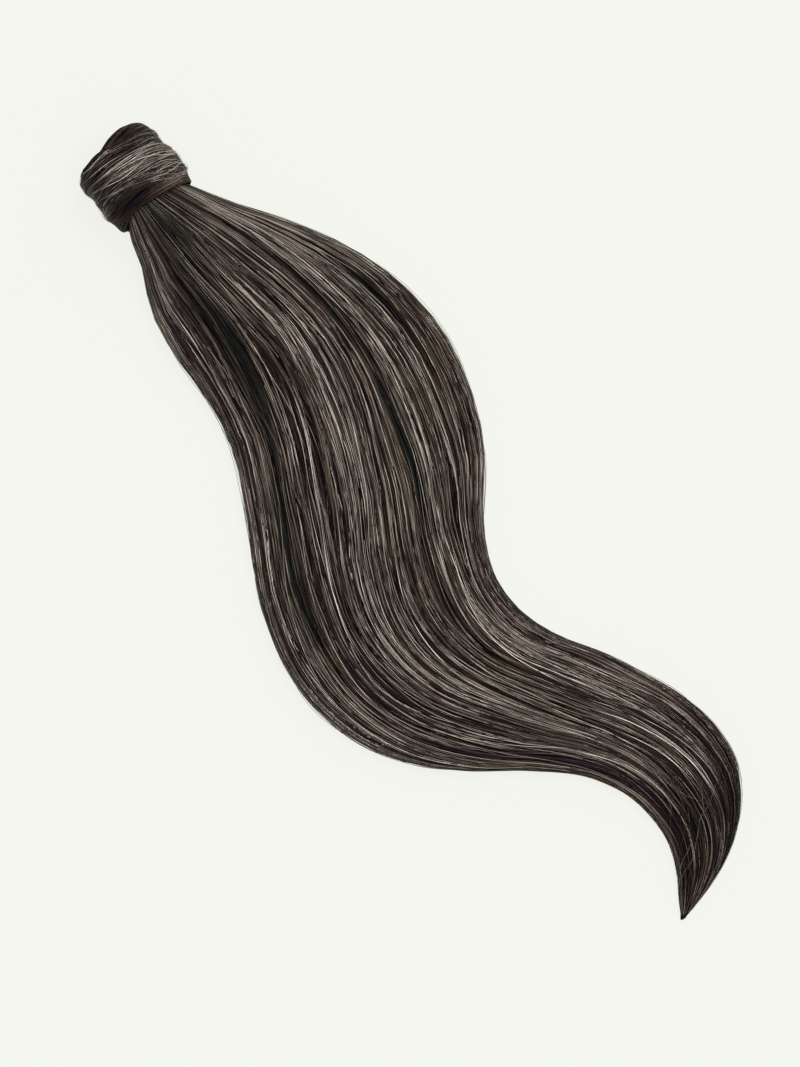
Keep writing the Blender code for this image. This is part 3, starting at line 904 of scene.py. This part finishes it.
def tail_coat(name, count, radius, material, points=42):
    """One coat of strands along the tail. A strand's share round the section follows its wisp, and its depth
    swings between its coat's limits. Its tone is its own, with a painted highlight on crests and painted
    shade in each parting and where the strand lies deeper."""
    coat = named(COAT_COLUMNS, COATS[name])
    rng = np.random.default_rng(coat.seed)
    ends = strand_ends(rng, count)[:, None] - coat.short * rng.uniform(0, 1, (count, 1))
    ends = np.maximum(ends, SHORTEST_STRAND)
    place = tail_places(ends, points)
    spread = rng.uniform(-1, 1, (count, 1))
    begin = 0.5 + coat.reach * (0.5 * spread + 0.5 * np.sin(math.pi / 2 * spread))
    beside = rng.uniform(-1, 1, (count, 1))
    side = np.where(spread > 0, 1, 0) + SIDE_REACH * beside * np.abs(beside)
    begin = np.where(rng.uniform(0, 1, (count, 1)) < coat.sides, side, begin)
    share, which = clumped(rng, begin, place, coat.stray)
    share = np.clip(share, SHARE_LOW, SHARE_LOW + SHARE_SPAN)
    across = unit(share)
    painted_light_tone, sink, push = partings_and_painted_light(across, place)
    swing = 0.5 + 0.5 * sines(rng, count, place, 110, 300)
    base = rng.uniform(coat.shallow, coat.deep, (count, 1))
    depth = base * (0.6 + 0.4 * swing) + PARTING_DIP * sink
    lift = 0.1 * sines(rng, WISPS, place[:1], 120, 240)[which]
    depth = np.clip(depth - lift, -0.3, 4.5) * (1 - coat.edge_rise * np.abs(2 * across - 1) ** 8)
    width = coat.radius * radius * rng.uniform(0.7, 1.3, (count, 1))
    width = width * np.clip(tail_columns(place).width / 100, 0.5, 1)
    width = width * np.clip((ends - place) / 50, 0.12, 1)
    tone = rng.uniform(coat.tone_low, coat.tone_high, (count, 1))
    tone = tone + 0.03 * rng.uniform(-1, 1, WISPS)[which][:, None]
    tone = tone + 0.05 * sines(rng, count, place, 60, 180)
    # Painted light and shade: a painted highlight lifts the tone on crests, painted shade lowers it in each
    # parting, and strands that lie deeper are darkened as painted shade
    light, shade = np.clip(painted_light_tone, 0, 1.5), np.clip(-painted_light_tone, 0, 1.5)
    tone = tone + coat.crest * light - PAINTED_SHADE_SHARE * shade - 0.08 * np.clip(depth, 0, 2.5)
    # A violet cast on some strands and a teal cast on others, in part at random and stronger where shade is
    # painted
    cast = np.sin(10 * across + place / 75 + 0.6)
    amount = rng.uniform(0.3, 1, (count, 1)) * (0.12 + 0.34 * shade) * np.abs(cast) ** 0.5
    tail_strands(name, share + push, place, depth, width, tones(tone, cast, amount), material)


def underside_strands(count, radius, material, points=26):
    """Strands along the underside, which lies on the table: a strand keeps its share of the way round."""
    rng = np.random.default_rng(41)
    place = tail_places(strand_ends(rng, count)[:, None], points)
    share = rng.uniform(1.07, 1.93, (count, 1)) + 0.006 * sines(rng, count, place, 70, 190)
    depth = rng.uniform(0, 0.4, (count, 1))
    tone = rng.uniform(0.05, 0.5, (count, 1)) + 0.1 * sines(rng, count, place, 50, 160)
    width = radius * rng.uniform(0.7, 1.3, (count, 1))
    tail_strands("tail_under_strands", share, place, depth, width, tones(tone), material)


def bell(degrees, y, middle):
    """A soft bell round an angle and a distance along the band, with its own reach of each."""
    angle, distance, angle_reach, distance_reach, strength = middle
    away = ((degrees - angle) / angle_reach) ** 2 + ((y - distance) / distance_reach) ** 2
    return strength * np.exp(-away)


def lock_height(angle, y):
    """How far the wound lock's hair stands over its seat: the highest turn there, with the grooves between
    turns half filled by the mean of the heights close by, less the dip of its valley."""
    heights = []
    for moved in (0, -3, -1.5, 1.5, 3):
        inside = []
        for _, table, below in TURNS:
            columns = turn_columns(table, angle)
            within = (y + moved < columns.mouth_edge) & (y + moved > columns.neck_edge)
            _, outside = turn_surface(table, below, angle, y + moved)
            inside.append(np.where(within, outside, 0))
        heights.append(np.max(inside, axis=0))
    filled = np.mean(heights, axis=0)
    return np.maximum(heights[0], filled) - bell(np.degrees(angle), y, LOCK_VALLEY)


def wound_strands(name, sweep, material):
    """Strands of the wound lock. Each keeps its share of the sweep between its two edges, from one angle to
    the next in even steps, and lies on the lock's height less its own depth."""
    coat = named(LOCK_COLUMNS, LOCK_COATS[name])
    count, points = coat.count, coat.points
    rng = np.random.default_rng(coat.seed)
    degrees = -88 + WOUND_STEP * (rng.integers(0, 3, (count, 1)) + np.arange(points)[None, :])
    table = np.array(sweep)
    edges = named(SWEEP_COLUMNS, curve_through(table[:, 0], table, np.clip(degrees, -90, 260)))
    along = np.linspace(0, 1, points)[None, :]
    share = rng.uniform(0, 1, (count, 1)) + coat.stray * sines(rng, count, degrees, 80, 260)
    share = unit(share)
    y = edges.mouth_edge + (edges.neck_edge - edges.mouth_edge) * share
    angle = np.radians(degrees)
    base = rng.uniform(coat.shallow, coat.deep, (count, 1))
    depth = base * (0.6 + 0.4 * sines(rng, count, degrees, 80, 220))
    edge_tuck = 0.7 * (1 - unit(np.minimum(share, 1 - share) / 0.05))
    paths = round_the_band(angle, y, lock_height(angle, y) - depth - edge_tuck)
    out = point(np.cos(angle), 0, np.sin(angle))
    width = coat.radius * rng.uniform(0.7, 1.3, (count, 1))
    width = width * np.clip(np.minimum(along, 1 - along) * 20, 0.2, 1)
    tone = rng.uniform(coat.tone_low, coat.tone_high, (count, 1))
    tone = tone + 0.08 * sines(rng, count, degrees, 60, 200)
    # Painted highlights and painted shade on the wound lock
    for crest in LOCK_PAINTED_LIGHT:
        tone = tone + bell(degrees, y, crest)
    cast = np.where(rng.uniform(0, 1, (count, 1)) < 0.6, 1, -1)
    amount = rng.uniform(0, 1, (count, 1)) ** 3 * 0.6
    # Painted shade: the valley between the turns is tinted teal
    teal = bell(degrees, y, LOCK_PAINTED_TEAL)
    cast = np.where(teal > 0.2, -1, cast)
    # Painted shade: strands that lie deeper are darkened
    colours = tones(tone - 0.08 * depth, cast, np.maximum(amount, 0.8 * teal))
    place_piece(tubes(name, paths, out, width, colours, material, flat=0.5), "hair")


def squarish(value):
    """A sine or cosine with its curve filled out, which turns an ellipse into a rounded box."""
    return np.sign(value) * np.abs(value) ** 0.6


def picked(rng, which, chosen, other):
    """A random number for each hair, from one range if it is of a kind and from another if not."""
    count = len(which)
    return np.where(which, rng.uniform(*chosen, count), rng.uniform(*other, count))


def strand_count(name, description, default):
    """A setting for how many strands a coat of the tail has."""
    return bpy.props.IntProperty(name=name, description=description, default=default, min=10, max=800)


def rim_sweep():
    """The sweep of the rim turn, which is the turn's own edges all the way round."""
    angle = np.radians(np.arange(-90, 290, 10))
    columns = turn_columns(RIM_TURN, angle)
    return point(np.degrees(angle), columns.mouth_edge - 0.2, columns.neck_edge + 1)


class HairSettings(bpy.types.PropertyGroup):
    """How much hair there is, and how thick a strand is drawn."""

    brown_strands: strand_count("Brown strands", "Strands in the middle coat of the tail", 680)
    fine_strands: strand_count("Fine strands", "Fine dark and brown strands of the tail", 800)
    grey_strands: strand_count("Grey strands", "Grey strands that lie uppermost on the tail", 680)
    strand_radius: bpy.props.FloatProperty(
        name="Strand radius", description="Half thickness of a wisp of hairs on the tail",
        default=0.00024, min=0.00005, max=0.001, precision=5, unit="LENGTH",
    )


def light_strength(name, description, default):
    """A setting for how strong a light is."""
    return bpy.props.FloatProperty(name=name, description=description, default=default, min=0, max=20)


class StudioSettings(bpy.types.PropertyGroup):
    """Lights, floor and camera."""

    floor_colour: bpy.props.FloatVectorProperty(
        name="Floor colour", description="Colour of the plain pale floor",
        default=tuple(linear("#F3F5ED")), min=0, max=1, subtype="COLOR",
    )
    key_strength: light_strength("Key light", "Strength of the large soft light on the right", 0.88)
    fill_strength: light_strength("Fill light", "Strength of the soft light overhead", 1.66)
    sky_strength: light_strength("Room light", "Strength of the even light from all round", 0.32)
    camera_distance: bpy.props.FloatProperty(
        name="Camera distance",
        description="Height of the camera over the table, far enough to flatten perspective",
        default=12, min=0.5, max=20, unit="LENGTH",
    )


class HAIRPIECE_OT_tail_mass(bpy.types.Operator):
    """Builds the mass of the tail that shows between its strands."""

    bl_idname = "hairpiece.tail_mass"
    bl_label = "Tail mass"

    def execute(self, context):
        place = np.linspace(0.4, TAIL_LENGTH - 0.5, 170)[:, None]
        over = (1 - np.cos(np.linspace(0, math.pi, 37))) / 2
        lay = np.concatenate([over, 1 + over[1:-1]])[None, :] * np.ones_like(place)
        across = np.where(lay > 1, 2 - lay, lay)
        _, sink, push = partings_and_painted_light(across, place)
        top = lay <= 1
        depth = np.where(top, MASS_DEPTH + PARTING_DIP * sink, 0.5)
        points, _ = tail_point(lay + push * top, place, depth)
        points[..., 2] = np.maximum(points[..., 2], 0.3)
        flow = point(across, place / TAIL_LENGTH, 0)
        material = shared("human_hair_tail_mass", mass_finish, 240, 5)
        place_piece(loft("tail_mass", points, flow, material, closed=False), "hair", "hair_tail")
        return {"FINISHED"}


class HAIRPIECE_OT_tail_strands(bpy.types.Operator):
    """Covers the tail with coats of strands, the dark ones deepest and the grey ones uppermost."""

    bl_idname = "hairpiece.tail_strands"
    bl_label = "Tail strands"

    def execute(self, context):
        hair = context.scene.hairpiece_hair
        radius = hair.strand_radius / MM
        dark, grey = pigmented_hair(), grey_hair()
        tail_coat("tail_dark_strands", 240, radius, dark)
        tail_coat("tail_brown_strands", hair.brown_strands, radius, dark)
        tail_coat("tail_fine_strands", hair.fine_strands, radius, dark)
        tail_coat("tail_grey_strands", hair.grey_strands, radius, grey)
        underside_strands(160, 2.6 * radius, dark)
        return {"FINISHED"}


class HAIRPIECE_OT_stray_hairs(bpy.types.Operator):
    """Adds the single hairs that stand away from the outline or cross over the tail."""

    bl_idname = "hairpiece.stray_hairs"
    bl_label = "Stray hairs"

    def execute(self, context):
        rng = np.random.default_rng(53)
        points, count = 22, STRAY_HAIRS
        along = np.linspace(0, 1, points)[None, :]
        number = np.arange(count)
        left, crossing = number < STRAYS_LEFT, number >= STRAYS_CROSSING
        near_tip = number >= STRAYS_NEAR_TIP
        begin = picked(rng, left, (60, 400), (20, 440))
        length = picked(rng, crossing, (50, 150), (25, 80))
        begin = np.where(near_tip, rng.uniform(425, 475, count), begin)
        length = np.where(near_tip, rng.uniform(25, 60, count), length)
        place = np.clip(begin[:, None] + along * length[:, None], 2, TAIL_LENGTH - 4)
        base = picked(rng, left, (0, 0.02), (0.98, 1))
        base = np.where(crossing, rng.uniform(0.1, 0.9, count), base)[:, None]
        drift = np.where(crossing, rng.normal(0, 0.045, count), 0)[:, None]
        drift = drift * np.where(near_tip, 6, 1)[:, None]
        share = unit(base + drift * (along - 0.5))
        paths, out = tail_point(share, place, -0.3)
        bow = (along * (1 - along) * 4) ** 1.3
        reach = np.where(crossing, 0, rng.uniform(0.1, 1, count) ** 2 * np.where(left, -1.5, 0.9))
        angle = np.radians(tail_columns(place).across_deg)
        outwards = reach[:, None] * bow
        paths[..., 0] += outwards * np.cos(angle)
        paths[..., 1] += outwards * np.sin(angle)
        paths[..., 2] += bow * rng.uniform(0, 0.5, (count, 1))
        radius = 0.12 * rng.uniform(0.8, 1.3, (count, 1))
        radius = radius * np.clip(np.minimum(along, 1 - along) * 8, 0.3, 1)
        tone = picked(rng, crossing, (0.35, 1), (0.05, 0.55))[:, None]
        # Painted light and shade of the tail's partings and crests, a fifth as strong
        tone = tone + 0.2 * partings_and_painted_light(share, place)[0]
        place_piece(tubes("stray_hairs", paths, out, radius, tones(tone), grey_hair(), flat=1), "hair")
        return {"FINISHED"}


class HAIRPIECE_OT_wound_lock(bpy.types.Operator):
    """Builds the masses of the three turns of the wound lock."""

    bl_idname = "hairpiece.wound_lock"
    bl_label = "Wound lock"

    def execute(self, context):
        material = shared("human_hair_lock_mass", mass_finish, 60, 1.6)
        for name, table, below in TURNS:
            angle = np.linspace(0, TURN, 96, endpoint=False)[:, None] - math.pi / 2
            out = (1 - np.cos(np.linspace(0, math.pi, 24))) / 2
            back = np.linspace(1, 0, 12)[1:-1]
            share = np.concatenate([out, back])
            columns = turn_columns(table, angle)
            y = columns.mouth_edge + (columns.neck_edge - columns.mouth_edge) * share
            seat, outside = turn_surface(table, below, angle, y)
            sunk = outside - TURN_SINK - bell(np.degrees(angle), y, LOCK_VALLEY)
            height = np.where(np.arange(len(share)) < len(out), np.maximum(seat + TURN_SKIN, sunk), seat)
            points = round_the_band(angle, y, height)
            flow = point(share, angle / TURN * 4, 0)
            place_piece(loft(f"{name}_mass", points, flow, material, closed=True), "hair", name)
        return {"FINISHED"}


class HAIRPIECE_OT_wound_strands(bpy.types.Operator):
    """Covers the three turns of the wound lock with strands."""

    bl_idname = "hairpiece.wound_strands"
    bl_label = "Wound strands"

    def execute(self, context):
        dark, grey = pigmented_hair(), grey_hair()
        wound_strands("rim_turn_strands", rim_sweep(), dark)
        wound_strands("neck_turn_strands", NECK_SWEEP, dark)
        wound_strands("main_turn_strands", MAIN_SWEEP, dark)
        wound_strands("main_turn_grey", MAIN_SWEEP, grey)
        wound_strands("wound_lock_strays", MAIN_SWEEP, grey)
        return {"FINISHED"}


class HAIRPIECE_OT_band(bpy.types.Operator):
    """Builds the band of stitched weft tape: a wall with rows of sewn tape inside."""

    bl_idname = "hairpiece.band"
    bl_label = "Sewn band"

    def execute(self, context):
        angle = np.linspace(0, TURN, 120, endpoint=False)[:, None]
        y_in = np.linspace(BAND_END, BAND_MOUTH, 60)
        rows = np.abs(np.sin(math.pi * (y_in - BAND_MOUTH) / TAPE_ROW)) ** 0.6
        y = np.concatenate([[BAND_MOUTH, BAND_MOUTH, BAND_END, BAND_END], y_in])
        inset = np.concatenate([[0.5, 0, 0, 0.5], BAND_WALL - 0.5 + 0.5 * rows])
        rings = ellipse(BAND_HALF_WIDTH - inset, BAND_HALF_HEIGHT - inset, angle, y)
        material = shared("weft_tape_cloth", cloth_finish)
        obj = loft("sewn_band_tape", rings, point(angle * 14, y, inset), material, closed=True)
        place_piece(obj, "sewn_band", "sewn_band")
        return {"FINISHED"}


class HAIRPIECE_OT_comb(bpy.types.Operator):
    """Builds the comb: a curved spine along the band's top, and round teeth that narrow to tips."""

    bl_idname = "hairpiece.comb"
    bl_label = "Comb"

    def execute(self, context):
        outset = BAND_WALL + SEAT_GAP + COMB_THICKNESS / 2
        half_width, half_height = BAND_HALF_WIDTH - outset, BAND_HALF_HEIGHT - outset
        span = math.radians(COMB_SPAN_DEG) / 2
        angle = np.linspace(math.pi / 2 - span, math.pi / 2 + span, 41)[:, None]
        corner = np.linspace(0, TURN, 16, endpoint=False)[None, :]
        raised = COMB_THICKNESS / 2 * squarish(np.cos(corner))
        y = COMB_START - COMB_SPINE_DEPTH / 2 + COMB_SPINE_DEPTH / 2 * squarish(np.sin(corner))
        points = ellipse(half_width + raised, half_height + raised, angle, y)
        material = shared("moulded_acetate", comb_finish)
        place_piece(loft("comb_spine", points, points, material, closed=False), "comb_plastic", "comb")
        tooth = (math.pi / 2 + np.linspace(-span, span, COMB_TEETH) * 0.93)[:, None]
        along = np.linspace(0, 1, 14)[None, :]
        y = COMB_START - COMB_SPINE_DEPTH + 0.6 - COMB_TOOTH_LENGTH * along
        paths = ellipse(half_width, half_height - 0.5 * np.sin(math.pi * along), tooth, y)
        radius = 0.66 * (1 - along) ** 0.35 + 0.02
        out = point(np.cos(tooth), 0, np.sin(tooth))
        teeth = tubes("comb_teeth", paths, out, radius, None, material, flat=0.9, sides=10)
        place_piece(teeth, "comb_plastic")
        return {"FINISHED"}


class HAIRPIECE_OT_studio(bpy.types.Operator):
    """Sets the floor, the soft lights and the camera straight above, turned as the photograph is."""

    bl_idname = "hairpiece.studio"
    bl_label = "Studio"

    def execute(self, context):
        studio = context.scene.hairpiece_studio
        scene = context.scene
        # A paper floor that glows a little, as under a light table, so that shadows on it stay faint
        floor_constants = {
            "Base Color": (*[(1 - FLOOR_GLOW) * part for part in studio.floor_colour], 1),
            "Emission Color": (*studio.floor_colour, 1),
            "Emission Strength": FLOOR_GLOW,
            "Roughness": 0.9,
            "Specular IOR Level": 0.2,
        }
        material, _, _ = finish_material("matt_paper_floor", floor_constants)
        corners = [(FLOOR_REACH * x, FLOOR_REACH * y, 0) for x, y in ((-1, -1), (1, -1), (1, 1), (-1, 1))]
        mesh = bpy.data.meshes.new("floor")
        mesh.from_pydata(corners, [], [(0, 1, 2, 3)])
        mesh.materials.append(material)
        add_object("floor", mesh)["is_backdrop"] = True
        for name, strength in (("key", studio.key_strength), ("overhead", studio.fill_strength)):
            spread, (x, y, z) = LIGHTS[name]
            light = bpy.data.lights.new(name, "SUN")
            light.energy = strength
            light.angle = math.radians(spread)
            turned = (0, math.atan2(math.hypot(x, y), z), math.atan2(y, x))
            add_object(name, light).rotation_euler = turned
        world = bpy.data.worlds.new("room")
        world.use_nodes = True
        background = world.node_tree.nodes["Background"]
        background.inputs["Color"].default_value = paint("#FFFFFC")
        background.inputs["Strength"].default_value = studio.sky_strength
        scene.world = world
        camera = bpy.data.cameras.new("camera")
        camera.sensor_width = 36
        camera.lens = camera.sensor_width * studio.camera_distance / VIEW_HEIGHT
        camera.clip_start, camera.clip_end = 0.1, 50
        scene.camera = add_object("camera", camera)
        middle = (frame_shift() + np.array(VIEW_MIDDLE)) * MM
        scene.camera.location = middle + np.array([0, 0, studio.camera_distance])
        scene.camera.rotation_euler = (0, 0, math.radians(VIEW_TURN_DEG))
        scene.view_settings.view_transform = "Standard"
        # Hairs thinner than a pixel are smeared into strokes when the denoiser filters its guides first
        scene.cycles.denoising_prefilter = "NONE"
        return {"FINISHED"}


OPERATORS = (
    HAIRPIECE_OT_tail_mass,
    HAIRPIECE_OT_tail_strands,
    HAIRPIECE_OT_stray_hairs,
    HAIRPIECE_OT_wound_lock,
    HAIRPIECE_OT_wound_strands,
    HAIRPIECE_OT_band,
    HAIRPIECE_OT_comb,
    HAIRPIECE_OT_studio,
)


class HAIRPIECE_PT_panel(bpy.types.Panel):
    """Lists the settings and the pieces in the sidebar."""

    bl_idname = "HAIRPIECE_PT_panel"
    bl_label = "Hairpiece"
    bl_space_type = "VIEW_3D"
    bl_region_type = "UI"
    bl_category = "Hairpiece"

    def draw(self, context):
        for settings in (context.scene.hairpiece_hair, context.scene.hairpiece_studio):
            for name in settings.__annotations__:
                self.layout.prop(settings, name)
        for operator in OPERATORS:
            self.layout.operator(operator.bl_idname)


CLASSES = (HairSettings, StudioSettings, *OPERATORS, HAIRPIECE_PT_panel)


def register():
    for cls in CLASSES:
        bpy.utils.register_class(cls)
    bpy.types.Scene.hairpiece_hair = bpy.props.PointerProperty(type=HairSettings)
    bpy.types.Scene.hairpiece_studio = bpy.props.PointerProperty(type=StudioSettings)


def unregister():
    del bpy.types.Scene.hairpiece_studio
    del bpy.types.Scene.hairpiece_hair
    for cls in reversed(CLASSES):
        bpy.utils.unregister_class(cls)


def main():
    register()
    for operator in OPERATORS:
        category, name = operator.bl_idname.split(".")
        getattr(getattr(bpy.ops, category), name)()
    boxes = {"cad": CAD_BOX, "visual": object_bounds()}
    boxes = {name: [list(corner) for corner in box] for name, box in boxes.items()}


if __name__ == "__main__":
    main()
